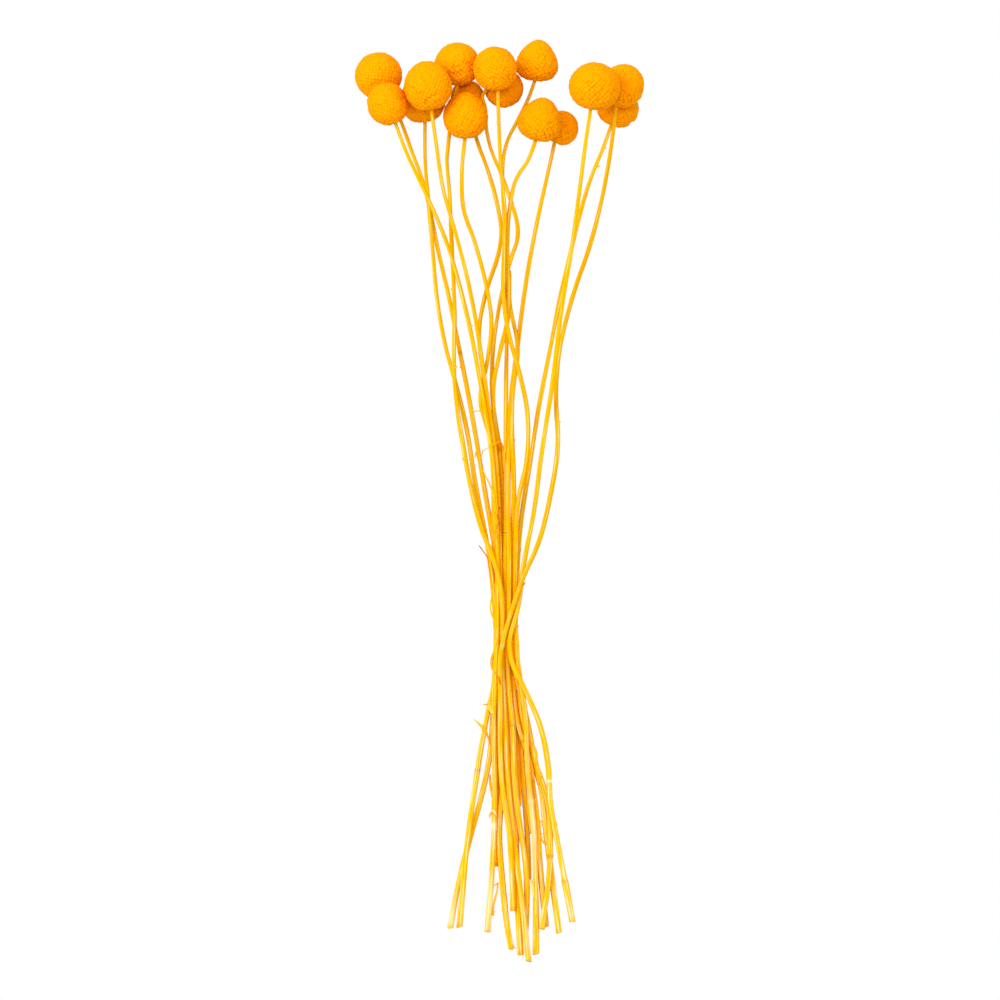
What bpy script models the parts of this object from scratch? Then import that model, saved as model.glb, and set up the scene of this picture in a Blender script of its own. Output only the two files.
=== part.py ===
"""A gathered bunch of dried billy buttons lying on its side.

Fifteen round flower heads stand on long bare stems, and one more stem has lost its head.
The stems lean together at a narrow waist and fan out again below it to their cut ends.
Sizes and places are in millimetres: x across the bunch, y along it towards the heads, z up
from the surface that it lies on. Blender gets them in metres.
"""
import math
from collections import namedtuple

import bmesh
import bpy
import numpy as np
from mathutils import Matrix, Vector
from mathutils.bvhtree import BVHTree

MM = 0.001

# Driving dimensions of the stems, whose thickness is given at places along the bunch
WAIST_Y = -77.0
WAIST_TOP_Y = -20.0
THICKNESS_PLACES = (-247.0, -197.0, WAIST_Y, 60.0, 240.0)
THICKNESS_RADII = (1.72, 1.54, 1.36, 1.2, 0.97)
TOP_RADIUS = THICKNESS_RADII[-1]
GAP = 0.35
LOWEST_LANE = 1.6
LANE_STEP = 0.52
TAIL_DROOP = 0.5
HEADLESS_STEM_HEIGHT = 9.0
CUT_MARGIN = 0.6

# How finely a stem is drawn, and how much more finely where it bends
STEM_POINTS = 36
WAY_SAMPLES = 361
BEND_WINDOW = 25
BEND_CROWDING = 1.0
BEND_CROWDING_LIMIT = 3.0

# Driving dimensions of the heads
FLORET_POINTS = 320
FLORET_RELIEF = 1.15
DIMPLE_DEPTH = 2.4
DIMPLE_RADIUS = 3.0
FLAT_SINK = 0.6
NODDING_RISE = 0.6
RELIEF_FADE_HEIGHT = 4.0

# Settling of the stems on each other, with shares of a move in x, y and z
SETTLE_ROUNDS = 420
CLEARING_ROUNDS = 260
CLEARING_EASE = 0.12
PUSHES_A_ROUND = 3
ROUNDS_BETWEEN_SEARCHES = 40
STRAIGHTENING = (0.5, 0.0, 0.45)
HOMING = (0.06, 0.0, 0.02)
SIDE_MOBILITY = 0.22
NEIGHBOUR_REACH = (18.0, 20.0)

# Probing for the head in front of a stem's tip
PROBE_START = 6.0
PROBE_LENGTH = 14.0
PROBE_SPOKES = 12

Head = namedtuple("Head", "x y z wide long taper")
Stem = namedtuple("Stem", "lane route rise", defaults=(0.0,))


def resting(x, y, wide, long, taper=0.0):
    """A head that lies on the surface, pressed a little flat."""
    return Head(x, y, 0.5 * wide - FLAT_SINK, wide, long, taper)


# Each head: its centre, its width, its length along the stem, and how far it widens to the crown
HEADS = (
    resting(-66.4, 233.6, 25.9, 25.9),
    Head(-61.3, 217.5, 31.2, 22.1, 24.0, 0.02),
    Head(-39.2, 227.6, 38.0, 26.4, 27.8, -0.08),
    resting(-42.2, 220.0, 25.4, 25.6),
    Head(-23.0, 239.6, 20.6, 24.9, 24.4, -0.03),
    resting(-17.5, 222.1, 18.2, 18.2),
    Head(-18.5, 211.2, 29.1, 24.6, 26.1, -0.04),
    Head(-2.3, 236.8, 33.8, 24.2, 24.9, 0.00),
    resting(2.5, 226.8, 21.2, 21.4),
    resting(21.0, 241.9, 22.7, 23.6, -0.33),
    Head(22.7, 209.2, 27.4, 23.5, 24.8, -0.26),
    resting(34.2, 204.8, 18.7, 19.2),
    Head(52.4, 227.0, 51.5, 28.6, 26.4, -0.03),
    Head(68.1, 227.5, 31.1, 22.6, 24.5, 0.02),
    resting(65.3, 216.0, 23.1, 22.2),
)

# Each stem: its place in the pile from the surface up, and its way from the head to the cut end
STEMS = (
    Stem(3, ((-59.3, 220.4), (-54.9, 210.5), (-48.3, 192.4), (-42.2, 175.9), (-38.1, 159.4),
             (-33.7, 137.4), (-28.5, 115.4), (-24.1, 93.4), (-17.5, 60.4), (-11.7, 27.4),
             (-6.3, -5.6), (-2.7, -27.6), (0.0, -55.1), (1.4, -77.1), (3.7, -99.1),
             (6.5, -118.4), (9.1, -134.9), (10.2, -148.6), (10.4, -165.1), (10.0, -187.1),
             (9.4, -203.6), (8.9, -220.1))),
    Stem(11, ((-57.3, 207.8), (-51.6, 192.4), (-43.9, 175.9), (-36.2, 159.4), (-27.4, 137.4),
              (-21.1, 115.4), (-15.8, 93.4), (-8.9, 57.1), (-4.3, 27.4), (-1.9, -5.6),
              (-1.0, -27.6), (-1.1, -60.6), (-1.2, -77.1), (-2.8, -116.7), (-2.6, -145.9),
              (-2.6, -165.1), (-3.0, -184.4), (-3.7, -199.2), (-4.4, -211.9), (-5.7, -226.7),
              (-6.4, -237.2))),
    Stem(9, ((-36.7, 209.4), (-34.2, 192.4), (-30.7, 170.4), (-24.3, 147.8), (-18.6, 126.4),
             (-14.0, 104.4), (-10.5, 82.4), (-6.5, 53.2), (-2.3, 23.5), (-0.4, -11.1),
             (1.0, -55.1), (0.4, -88.1), (0.2, -110.1), (1.0, -127.7), (2.0, -141.5),
             (2.1, -153.0), (1.5, -163.5), (0.6, -172.3), (0.2, -180.5), (0.2, -188.8),
             (0.7, -197.6), (1.5, -206.9), (2.7, -220.1), (4.3, -233.9), (6.5, -246.0))),
    Stem(6, ((-40.8, 208.3), (-40.8, 186.9), (-39.0, 164.9), (-37.0, 142.9), (-34.1, 109.9),
             (-29.0, 82.4), (-22.8, 60.4), (-17.8, 38.4), (-12.4, 5.4), (-7.7, -16.6),
             (-3.8, -39.7), (-1.2, -77.1), (-2.4, -99.1), (-6.2, -117.3), (-10.7, -141.5),
             (-14.4, -165.1), (-17.5, -187.1), (-19.6, -209.1), (-21.9, -234.4))),
    Stem(13, ((-23.0, 227.6), (-24.1, 217.1), (-26.3, 203.4), (-28.5, 186.9), (-27.4, 170.4),
              (-26.0, 137.4), (-24.6, 104.4), (-24.9, 71.4), (-23.0, 49.4), (-19.4, 27.4),
              (-15.3, 5.4), (-9.5, -16.6), (-3.2, -33.1), (-0.1, -46.9), (0.9, -66.1),
              (0.9, -88.1), (2.3, -110.1), (3.8, -143.1), (5.6, -170.0), (9.0, -198.1),
              (12.0, -220.1), (16.1, -253.1))),
    Stem(0, ((-16.4, 213.3), (-12.2, 197.9), (-6.2, 181.4), (-0.4, 159.4), (1.2, 148.4),
             (-0.1, 137.4), (-7.0, 115.4), (-11.1, 93.4), (-8.1, 65.9), (-3.7, 36.7),
             (-1.0, 5.4), (-0.1, -44.1), (-0.4, -77.1), (-1.2, -110.1), (-1.0, -148.6),
             (-1.5, -200.9))),
    Stem(4, ((-18.8, 199.0), (-20.5, 181.4), (-19.4, 159.4), (-13.8, 142.9), (-7.6, 120.3),
             (-4.3, 98.3), (-6.6, 76.3), (-10.4, 54.9), (-5.6, 36.7), (-2.6, 9.8), (-2.4, -11.1),
             (-1.8, -38.6), (-1.2, -77.1), (-2.6, -110.1), (-6.6, -149.7), (-11.4, -169.5),
             (-16.6, -188.2), (-22.1, -210.2), (-27.0, -235.0))),
    Stem(12, ((-0.7, 224.8), (0.1, 197.9), (1.2, 178.6), (2.9, 162.1), (2.6, 137.4),
              (2.1, 115.4), (4.8, 93.4), (10.9, 70.8), (15.3, 49.4), (15.0, 21.9), (10.3, -0.1),
              (8.4, -33.1), (8.1, -77.1), (9.0, -88.1), (10.8, -99.1), (12.8, -109.6),
              (13.9, -117.3), (14.7, -127.2), (15.1, -138.7), (16.0, -153.0), (17.4, -164.6),
              (19.0, -181.6), (19.7, -199.2), (20.2, -217.4), (20.3, -249.3))),
    Stem(2, ((-8.2, 227.6), (-9.0, 223.6), (-7.9, 216.5), (-6.9, 203.4), (-4.3, 192.4),
             (0.4, 181.4), (4.5, 170.4), (8.1, 159.4), (10.3, 148.4), (9.8, 142.9), (6.1, 131.9),
             (0.7, 109.9), (-2.9, 87.9), (-3.8, 57.6), (0.1, 27.4), (1.8, -11.1), (1.8, -55.1),
             (2.1, -77.1), (4.2, -90.9), (6.6, -101.3), (8.6, -111.2), (10.1, -120.6),
             (11.3, -132.1), (12.2, -143.1), (13.0, -154.1), (13.8, -166.2), (14.9, -180.5),
             (15.6, -192.6), (16.0, -208.0)), rise=NODDING_RISE),
    Stem(7, ((19.7, 230.9), (15.5, 219.9), (9.5, 207.8), (4.5, 197.9), (2.1, 186.9),
             (2.0, 171.5), (4.0, 137.4), (4.2, 93.4), (3.7, 54.9), (3.7, -0.1), (3.6, -77.1),
             (4.4, -89.2), (5.3, -104.6), (6.2, -115.1), (7.1, -122.2), (7.6, -130.5),
             (7.8, -142.6), (8.2, -153.6), (9.0, -162.9), (10.4, -173.9), (12.2, -185.5),
             (13.4, -193.2), (14.4, -201.4), (15.1, -211.3), (15.2, -220.1), (14.8, -227.3),
             (14.1, -237.7))),
    Stem(5, ((19.9, 197.3), (15.8, 186.9), (9.2, 176.4), (6.4, 164.9), (4.5, 131.9),
             (4.7, 100.0), (0.4, 81.8), (-3.1, 63.1), (-2.0, 39.5), (2.1, 13.6), (3.4, -33.1),
             (3.4, -77.1), (4.0, -101.9), (5.1, -118.4), (6.0, -132.1), (6.7, -145.9),
             (7.6, -156.9), (8.3, -167.9), (9.0, -182.7), (9.7, -203.6), (10.3, -221.8),
             (10.9, -236.1), (11.8, -249.8))),
    Stem(10, ((30.1, 196.2), (27.1, 181.4), (21.0, 153.9), (13.3, 109.9), (10.3, 85.1),
              (7.0, 60.4), (6.0, 21.9), (5.7, -33.1), (5.4, -66.1), (7.2, -82.6), (8.7, -92.5),
              (10.7, -101.9), (13.0, -111.2), (15.2, -121.1), (17.0, -129.4), (18.4, -137.6),
              (20.3, -145.3), (22.7, -152.5), (24.9, -159.1), (26.7, -165.7), (27.8, -173.9),
              (28.1, -182.7), (28.1, -192.6), (27.6, -203.6), (26.5, -214.6), (24.9, -223.4),
              (23.2, -235.5))),
    Stem(14, ((50.2, 214.9), (46.9, 192.4), (44.1, 170.4), (39.7, 137.4), (34.2, 104.4),
              (28.7, 60.4), (23.5, 27.4), (19.1, -5.6), (12.8, -38.6), (10.6, -55.1),
              (8.1, -66.1), (5.4, -77.1), (6.7, -88.1), (14.4, -104.6), (23.2, -126.6),
              (27.1, -148.6), (27.9, -165.1), (33.4, -195.4), (40.4, -231.7))),
    Stem(15, ((63.9, 215.5), (60.4, 186.9), (56.2, 164.9), (50.7, 142.9), (39.7, 109.9),
              (32.3, 76.9), (31.2, 54.9), (32.3, 32.9), (27.6, -0.1), (22.1, -22.1),
              (12.8, -44.1), (5.6, -66.1), (1.2, -82.6), (0.6, -110.1), (0.6, -129.4),
              (1.1, -147.5), (2.1, -159.6), (3.8, -170.6), (5.2, -177.2), (6.3, -184.9),
              (7.1, -193.7), (7.5, -204.7), (7.7, -215.7), (7.7, -225.6))),
    Stem(8, ((61.7, 206.7), (58.7, 197.9), (49.9, 175.9), (40.8, 142.9), (33.1, 109.9),
             (26.8, 76.9), (22.4, 54.9), (17.2, 21.9), (12.0, -11.1), (9.2, -55.1), (8.6, -77.1),
             (9.5, -90.9), (10.7, -104.6), (12.0, -116.7), (14.2, -128.3), (17.1, -138.7),
             (19.8, -147.0), (21.8, -154.1), (23.7, -163.5), (25.0, -176.1), (26.5, -187.7),
             (27.9, -199.2), (29.5, -212.4), (31.0, -223.4), (32.9, -237.7))),
    Stem(9.5, ((5.6, 125.8), (5.6, 109.9), (10.0, 85.1), (6.7, 54.9), (6.1, 21.9),
               (6.9, -11.1), (6.9, -55.1), (7.0, -71.6), (7.5, -88.1), (7.8, -100.2), (8.3, -110.7),
               (9.3, -118.4), (10.6, -124.4), (12.5, -131.0), (14.8, -137.1), (16.6, -143.1),
               (17.8, -150.3), (18.7, -159.1), (19.8, -167.9), (21.0, -178.9), (21.7, -191.5),
               (22.6, -203.6), (23.7, -216.3), (24.8, -225.6), (25.7, -234.4))),
)


def clear_scene():
    for thing in list(bpy.data.objects):
        bpy.data.objects.remove(thing, do_unlink=True)


def make_material(name, colour, roughness):
    material = bpy.data.materials.new(name)
    material.use_nodes = True
    shader = material.node_tree.nodes["Principled BSDF"]
    shader.inputs["Base Color"].default_value = (*colour, 1.0)
    shader.inputs["Roughness"].default_value = roughness
    shader.inputs["Metallic"].default_value = 0.0
    return material


def curve_through(corners, places):
    """A Catmull-Rom curve through the corners, read at shares of its length."""
    corners = np.asarray(corners, dtype=float)
    knots = np.concatenate(([0.0], np.cumsum(np.linalg.norm(np.diff(corners, axis=0), axis=1))))
    slopes = np.gradient(corners, knots, axis=0)
    places = places * knots[-1]
    span = np.clip(np.searchsorted(knots, places, side="right") - 1, 0, len(knots) - 2)
    width = knots[span + 1] - knots[span]
    t = ((places - knots[span]) / width)[:, None]
    width = width[:, None]
    start = (2 * t ** 3 - 3 * t ** 2 + 1) * corners[span]
    end = (3 * t ** 2 - 2 * t ** 3) * corners[span + 1]
    leaving = (t ** 3 - 2 * t ** 2 + t) * width * slopes[span]
    arriving = (t ** 3 - t ** 2) * width * slopes[span + 1]
    return start + end + leaving + arriving


def smooth_way(corners, count):
    """Points along a stem's way, closer together where it bends."""
    shares = np.linspace(0.0, 1.0, WAY_SAMPLES)
    fine = curve_through(corners, shares)
    heading = np.unwrap(np.arctan2(*np.diff(fine, axis=0).T))
    window = np.ones(BEND_WINDOW) / BEND_WINDOW
    turning = np.convolve(np.abs(np.gradient(heading)), window, mode="same")
    crowd = 1.0 + BEND_CROWDING * np.minimum(turning / turning.mean(), BEND_CROWDING_LIMIT)
    along = np.concatenate(([0.0], np.cumsum(crowd)))
    return curve_through(corners, np.interp(np.linspace(0.0, along[-1], count), along, shares))


def stem_height(stem, way, start_height):
    """Heights along a stem: down from its head to its lane at the waist, then slowly lower."""
    lane_height = LOWEST_LANE + stem.lane * LANE_STEP
    share = np.clip((way[:, 1] - WAIST_TOP_Y) / (way[0, 1] - WAIST_TOP_Y), 0.0, 1.0)
    tail = np.clip((WAIST_Y - way[:, 1]) / (WAIST_Y - way[-1, 1]), 0.0, 1.0)
    lowered = lane_height - TAIL_DROOP * tail * (lane_height - LOWEST_LANE)
    return lowered + (start_height - lowered) * share


def stem_radii(way):
    """Thickness along a stem: thin under the head, thickest at the cut end."""
    return np.interp(way[:, 1], THICKNESS_PLACES, THICKNESS_RADII)


def nearest_on_segments(p, u, q, v):
    """For segments p + s u and q + t v, the shares s and t at which they come nearest."""
    r = p - q
    a = np.einsum("ij,ij->i", u, u)
    e = np.einsum("ij,ij->i", v, v)
    b = np.einsum("ij,ij->i", u, v)
    c = np.einsum("ij,ij->i", u, r)
    f = np.einsum("ij,ij->i", v, r)
    s = np.clip((b * f - c * e) / np.maximum(a * e - b * b, 1e-9), 0.0, 1.0)
    t = np.clip((b * s + f) / e, 0.0, 1.0)
    s = np.clip((b * t - c) / a, 0.0, 1.0)
    return s, t


def spread(moves, counts, index, move, share):
    """Add a share of each move to the point that its index names."""
    np.add.at(moves, index, move * share[:, None])
    np.add.at(counts, index, share)


def push_apart(points, radii, pairs):
    """Move the ends of stem segments that lie too close to each other, mostly up and down."""
    flat = points.reshape(-1, 3)
    first, second = pairs
    u = flat[first + 1] - flat[first]
    v = flat[second + 1] - flat[second]
    s, t = nearest_on_segments(flat[first], u, flat[second], v)
    apart = flat[first] + s[:, None] * u - flat[second] - t[:, None] * v
    distance = np.maximum(np.linalg.norm(apart, axis=1), 1e-6)
    thick = radii.reshape(-1)
    need = thick[first] * (1 - s) + thick[first + 1] * s + GAP
    need += thick[second] * (1 - t) + thick[second + 1] * t
    overlap = need - distance
    close = overlap > 0
    first, second, s, t = first[close], second[close], s[close], t[close]
    normal = apart[close] / distance[close, None]
    free = normal * np.array((SIDE_MOBILITY, 0.0, 1.0))
    reach = np.einsum("ij,ij->i", normal, free)
    weight = (1 - s) ** 2 + s ** 2 + (1 - t) ** 2 + t ** 2
    move = free * (overlap[close] / (reach * weight))[:, None]
    moves = np.zeros_like(flat)
    counts = np.zeros(len(flat))
    spread(moves, counts, first, move, 1 - s)
    spread(moves, counts, first + 1, move, s)
    spread(moves, counts, second, -move, 1 - t)
    spread(moves, counts, second + 1, -move, t)
    flat += moves / np.maximum(counts, 1.0)[:, None]


def push_off_heads(points, radii):
    """Lift or lower stems that pass too close to a flower head."""
    for head in HEADS:
        centre = np.array((head.x, head.y, head.z))
        start = points[:, :-1]
        way = points[:, 1:] - start
        share = np.einsum("ijk,ijk->ij", centre - start, way) / np.einsum("ijk,ijk->ij", way, way)
        share = np.clip(share, 0.0, 1.0)[..., None]
        apart = start + share * way - centre
        distance = np.linalg.norm(apart, axis=2)[..., None]
        need = 0.5 * max(head.wide, head.long) + radii[:, :-1, None] + GAP
        need[:, 0] = 0.0
        move = apart / distance * np.maximum(need - distance, 0.0)
        move[..., 1] = 0.0
        points[:, :-1] += move * (1 - share)
        points[:, 1:] += move * share


def neighbour_pairs(points):
    """Pairs of segments of different stems that lie near each other along the bunch."""
    stems, count = points.shape[:2]
    index = np.arange(stems * count).reshape(stems, count)[:, :-1].ravel()
    owner = index // count
    middle = 0.5 * (points[:, :-1] + points[:, 1:]).reshape(-1, 3)
    first, second = np.triu_indices(len(index), 1)
    near = np.abs(middle[first, 0] - middle[second, 0]) < NEIGHBOUR_REACH[0]
    near &= np.abs(middle[first, 1] - middle[second, 1]) < NEIGHBOUR_REACH[1]
    near &= owner[first] != owner[second]
    return index[first[near]], index[second[near]]


def settle(routes, radii):
    """Let the stems lie on each other without touching, each as near its own way as it can."""
    points = routes.copy()
    fixed = points[:, 0].copy()
    for turn in range(SETTLE_ROUNDS + CLEARING_ROUNDS):
        if turn % ROUNDS_BETWEEN_SEARCHES == 0:
            pairs = neighbour_pairs(points)
        drift = points - routes
        bend = 0.5 * (drift[:, :-2] + drift[:, 2:]) - drift[:, 1:-1]
        easing = 1.0 if turn < SETTLE_ROUNDS else CLEARING_EASE
        points[:, 1:-1] += easing * np.array(STRAIGHTENING) * bend
        points -= easing * np.array(HOMING) * drift
        for _ in range(PUSHES_A_ROUND):
            push_apart(points, radii, pairs)
            push_off_heads(points, radii)
            points[..., 2] = np.maximum(points[..., 2], radii)
            points[:, 0] = fixed
    return points


def floret_sphere(count):
    """Evenly spread points of a sphere, in the spirals in which florets grow."""
    number = np.arange(count)
    height = 1.0 - (2.0 * number + 1.0) / count
    turn = number * math.pi * (3.0 - math.sqrt(5.0))
    ring = np.sqrt(1.0 - height ** 2)
    return np.column_stack((ring * np.cos(turn), ring * np.sin(turn), -height))


def woven_ball(count):
    """A ball whose even points are floret tops and whose odd points are the pits between."""
    ball = bmesh.new()
    for number, place in enumerate(floret_sphere(count)):
        ball.verts.new(place).index = number
    ball.verts.index_update()
    bmesh.ops.convex_hull(ball, input=ball.verts)
    ball.verts.ensure_lookup_table()
    ridges = [edge for edge in ball.edges if all(vert.index % 2 == 0 for vert in edge.verts)]
    bmesh.ops.rotate_edges(ball, edges=ridges, use_ccw=False)
    return ball


def head_axis(head, seat):
    """The direction from a head's stem to its crown."""
    return (Vector((head.x, head.y, head.z)) - Vector(seat)).normalized()


def make_head(name, head, seat, material, collection):
    """A ball of florets, dimpled where its stem enters and pressed flat where it rests."""
    ball = woven_ball(FLORET_POINTS)
    turn = head_axis(head, seat).to_track_quat("Z", "Y").to_matrix()
    rests = head.z < 0.5 * min(head.wide, head.long)
    for vert in ball.verts:
        unit = vert.co.copy()
        side = 0.5 * head.wide * (1.0 + head.taper * unit.z)
        smooth = turn @ Vector((unit.x * side, unit.y * side, unit.z * 0.5 * head.long))
        smooth += Vector((0.0, 0.0, head.z))
        relief = FLORET_RELIEF if vert.index % 2 else 0.0
        if rests:
            relief *= min(max(smooth.z / RELIEF_FADE_HEIGHT, 0.0), 1.0)
        off_axis = math.acos(max(-1.0, min(1.0, -unit.z))) * 0.5 * head.long
        relief += DIMPLE_DEPTH * math.exp(-(off_axis / DIMPLE_RADIUS) ** 2)
        middle = Vector((0.0, 0.0, head.z))
        place = smooth - relief * (smooth - middle).normalized()
        place += Vector((head.x, head.y, 0.0))
        vert.co = Vector((place.x, place.y, max(place.z, 0.0))) * MM
    mesh = bpy.data.meshes.new(name)
    ball.to_mesh(mesh)
    ball.free()
    mesh.materials.append(material)
    thing = bpy.data.objects.new(name, mesh)
    collection.objects.link(thing)
    return thing


def reach_head(points, radius, head_object):
    """Lengthen a stem's tip into its head's dimple, to stop just short of the head."""
    tip = Vector(points[0])
    forward = (tip - Vector(points[1])).normalized()
    across = forward.orthogonal().normalized()
    surface = bmesh.new()
    surface.from_mesh(head_object.data)
    tree = BVHTree.FromBMesh(surface)
    start = tip - PROBE_START * forward
    offsets = [Vector((0.0, 0.0, 0.0))]
    for step in range(PROBE_SPOKES):
        spoke = Matrix.Rotation(math.tau * step / PROBE_SPOKES, 3, forward) @ across
        offsets.append(spoke * (radius + GAP))
    hits = []
    for offset in offsets:
        hit = tree.ray_cast((start + offset) * MM, forward, PROBE_LENGTH * MM)
        if hit[3] is not None:
            hits.append(hit[3] / MM)
    surface.free()
    if hits:
        points[0] = start + forward * (min(hits) - GAP)


def make_stem(name, points, radii, material, collection):
    """A stem as a tube along its points, thicker towards the cut end."""
    curve = bpy.data.curves.new(name, "CURVE")
    curve.dimensions = "3D"
    curve.bevel_depth = TOP_RADIUS * MM
    curve.bevel_resolution = 1
    curve.use_fill_caps = True
    spline = curve.splines.new("POLY")
    spline.points.add(len(points) - 1)
    for knot, place, radius in zip(spline.points, points, radii):
        knot.co = (*(place * MM), 1.0)
        knot.radius = radius / TOP_RADIUS
    spline.use_smooth = True
    curve.materials.append(material)
    thing = bpy.data.objects.new(name, curve)
    collection.objects.link(thing)
    return thing


def seat_of(head, stem):
    """Where a stem meets its head, on the head's outline as seen from above."""
    slope = (head.z - LOWEST_LANE - stem.lane * LANE_STEP) / (head.y - WAIST_TOP_Y)
    side = Vector((stem.route[0][0] - head.x, stem.route[0][1] - head.y, 0.0)).normalized()
    out = (side + Vector((0.0, 0.0, stem.rise - slope))).normalized()
    return Vector((head.x, head.y, head.z)) + out * (0.5 * head.long - 0.5 * DIMPLE_DEPTH)


def lay_out_stems():
    """The stems' points and radii, from their heads to their cut ends."""
    routes = []
    for number, stem in enumerate(STEMS):
        corners = list(stem.route)
        corners[-1] = (corners[-1][0], corners[-1][1] - CUT_MARGIN)
        height = HEADLESS_STEM_HEIGHT
        if number < len(HEADS):
            seat = seat_of(HEADS[number], stem)
            corners[0] = (seat.x, seat.y)
            height = seat.z
        way = smooth_way(corners, STEM_POINTS)
        routes.append(np.column_stack((way, stem_height(stem, way, height))))
    routes = np.array(routes)
    radii = np.array([stem_radii(way) for way in routes])
    return settle(routes, radii), radii


def recentre(collection):
    """Put the middle of the bunch over the origin and its lowest points at height zero."""
    bpy.context.view_layer.update()
    graph = bpy.context.evaluated_depsgraph_get()
    corners = []
    for thing in collection.objects:
        shape = thing.evaluated_get(graph)
        mesh = shape.to_mesh()
        places = np.empty(3 * len(mesh.vertices))
        mesh.vertices.foreach_get("co", places)
        corners.append(places.reshape(-1, 3))
        shape.to_mesh_clear()
    corners = np.concatenate(corners)
    low, high = corners.min(axis=0), corners.max(axis=0)
    anchor = bpy.data.objects.new("bunch", None)
    anchor.location = (-0.5 * (low[0] + high[0]), -0.5 * (low[1] + high[1]), -low[2])
    for thing in list(collection.objects):
        thing.parent = anchor
    collection.objects.link(anchor)


def main():
    clear_scene()
    collection = bpy.data.collections.new("dried_billy_buttons")
    bpy.context.scene.collection.children.link(collection)
    gold = make_material("dried_floret_gold", (0.93, 0.40, 0.015), 0.85)
    straw = make_material("dyed_dry_stem", (0.90, 0.52, 0.03), 0.6)
    ways, radii = lay_out_stems()
    for number, head in enumerate(HEADS):
        seat = seat_of(head, STEMS[number])
        head_object = make_head(f"head_{number + 1:02d}", head, seat, gold, collection)
        reach_head(ways[number], radii[number][0], head_object)
    for number in range(len(STEMS)):
        make_stem(f"stem_{number + 1:02d}", ways[number], radii[number], straw, collection)
    recentre(collection)


main()
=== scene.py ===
# %% [markdown]
# # A bunch of dried billy buttons
#
# Billy buttons are the flower heads of a small relative of the daisy. Each head is a ball packed
# with several hundred tiny florets, alone on a long bare stem. The heads are picked in flower,
# dyed golden yellow, dried and sold as a loose bunch about half a metre long.
#
# The solid model already has every head and every stem at its real size and place. This script
# loads it as a fixed frame and dresses it. Each plain ball becomes a head of separate florets, and
# each plain rod becomes a ribbed stem with its streaks, scars, dry shreds and cut end.

# %% Load the frame
import math
from collections import namedtuple

import bpy
import numpy as np
from mathutils import Matrix, Vector, noise
from mathutils.bvhtree import BVHTree
from mathutils.kdtree import KDTree


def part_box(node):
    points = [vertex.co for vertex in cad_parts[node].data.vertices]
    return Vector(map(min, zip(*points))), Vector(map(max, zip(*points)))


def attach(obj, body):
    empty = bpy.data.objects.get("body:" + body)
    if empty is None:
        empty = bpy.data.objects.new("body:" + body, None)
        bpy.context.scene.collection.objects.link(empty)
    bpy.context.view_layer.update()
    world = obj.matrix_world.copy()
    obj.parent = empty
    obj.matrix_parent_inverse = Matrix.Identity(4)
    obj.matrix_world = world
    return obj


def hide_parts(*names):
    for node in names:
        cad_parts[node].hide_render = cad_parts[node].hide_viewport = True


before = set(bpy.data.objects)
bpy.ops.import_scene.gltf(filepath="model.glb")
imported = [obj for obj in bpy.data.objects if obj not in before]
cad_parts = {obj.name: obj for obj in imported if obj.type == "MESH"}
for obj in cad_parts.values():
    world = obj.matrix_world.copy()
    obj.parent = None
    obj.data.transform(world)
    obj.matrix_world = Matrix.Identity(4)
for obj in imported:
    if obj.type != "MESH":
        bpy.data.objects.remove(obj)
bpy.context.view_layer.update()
bpy.ops.object.select_all(action="DESELECT")

MM = 0.001
HEADS = sorted(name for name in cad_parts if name.startswith("head"))
STEMS = sorted(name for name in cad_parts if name.startswith("stem"))

# %% [markdown]
# ## Helpers for materials
#
# Colours are written as the hex values that a colour picker shows, which are sRGB. Shaders want
# linear light, so one function turns the first into the second. Another adds a shader node with
# its settings, values and links in one call. The others take up what every material repeats: its
# start, the sockets of its shader, and the stops of a ramp that leads through its colours. The Mix
# node has several sockets of one name, so those for its share and its colours go by numbers.

# %% Write the helpers for materials
SHARE, COLOUR_A, COLOUR_B, MIXED = 0, 6, 7, 2


def linear(colour):
    """An sRGB hex colour as linear red, green, blue and alpha."""
    shares = [int(colour[place:place + 2], 16) / 255 for place in (1, 3, 5)]
    return (*[c / 12.92 if c < 0.04045 else ((c + 0.055) / 1.055) ** 2.4 for c in shares], 1.0)


def new_material(name):
    """A new material with its node tree and its shader."""
    material = bpy.data.materials.new(name)
    material.use_nodes = True
    return material, material.node_tree, material.node_tree.nodes["Principled BSDF"]


def set_sockets(tree, node, sockets):
    """Give some sockets of a node a value each, or a link that feeds them."""
    for name, value in sockets.items():
        if isinstance(value, bpy.types.NodeSocket):
            tree.links.new(value, node.inputs[name])
        else:
            node.inputs[name].default_value = value


def add_node(tree, kind, settings=None, sockets=None):
    """A new shader node with its settings and its sockets."""
    node = tree.nodes.new(kind)
    for name, value in (settings or {}).items():
        setattr(node, name, value)
    set_sockets(tree, node, sockets or {})
    return node


def set_stops(ramp, stops):
    """Give a colour ramp its stops, each a place on the ramp and a hex colour."""
    for place, _ in stops[1:-1]:
        ramp.color_ramp.elements.new(place)
    for element, (place, colour) in zip(ramp.color_ramp.elements, stops):
        element.position = place
        element.color = linear(colour)


print("gold in linear light:", [round(share, 3) for share in linear("#FFB000")])

# %% [markdown]
# ## Helpers for meshes
#
# Operators act on whatever is selected, so one helper makes an object the only selected one before
# each of them. The solids of the frame are loose triangles, and a curve that is turned into a mesh
# has doubled points at its caps, so another helper merges points that lie in one place. The last
# one stores a number on each point of a mesh, for a material to read.

# %% Write the helpers for meshes
WELD = 0.002 * MM


def pick(thing):
    """Make an object the only selected one, and the active one."""
    bpy.ops.object.select_all(action="DESELECT")
    thing.select_set(True)
    bpy.context.view_layer.objects.active = thing


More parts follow.
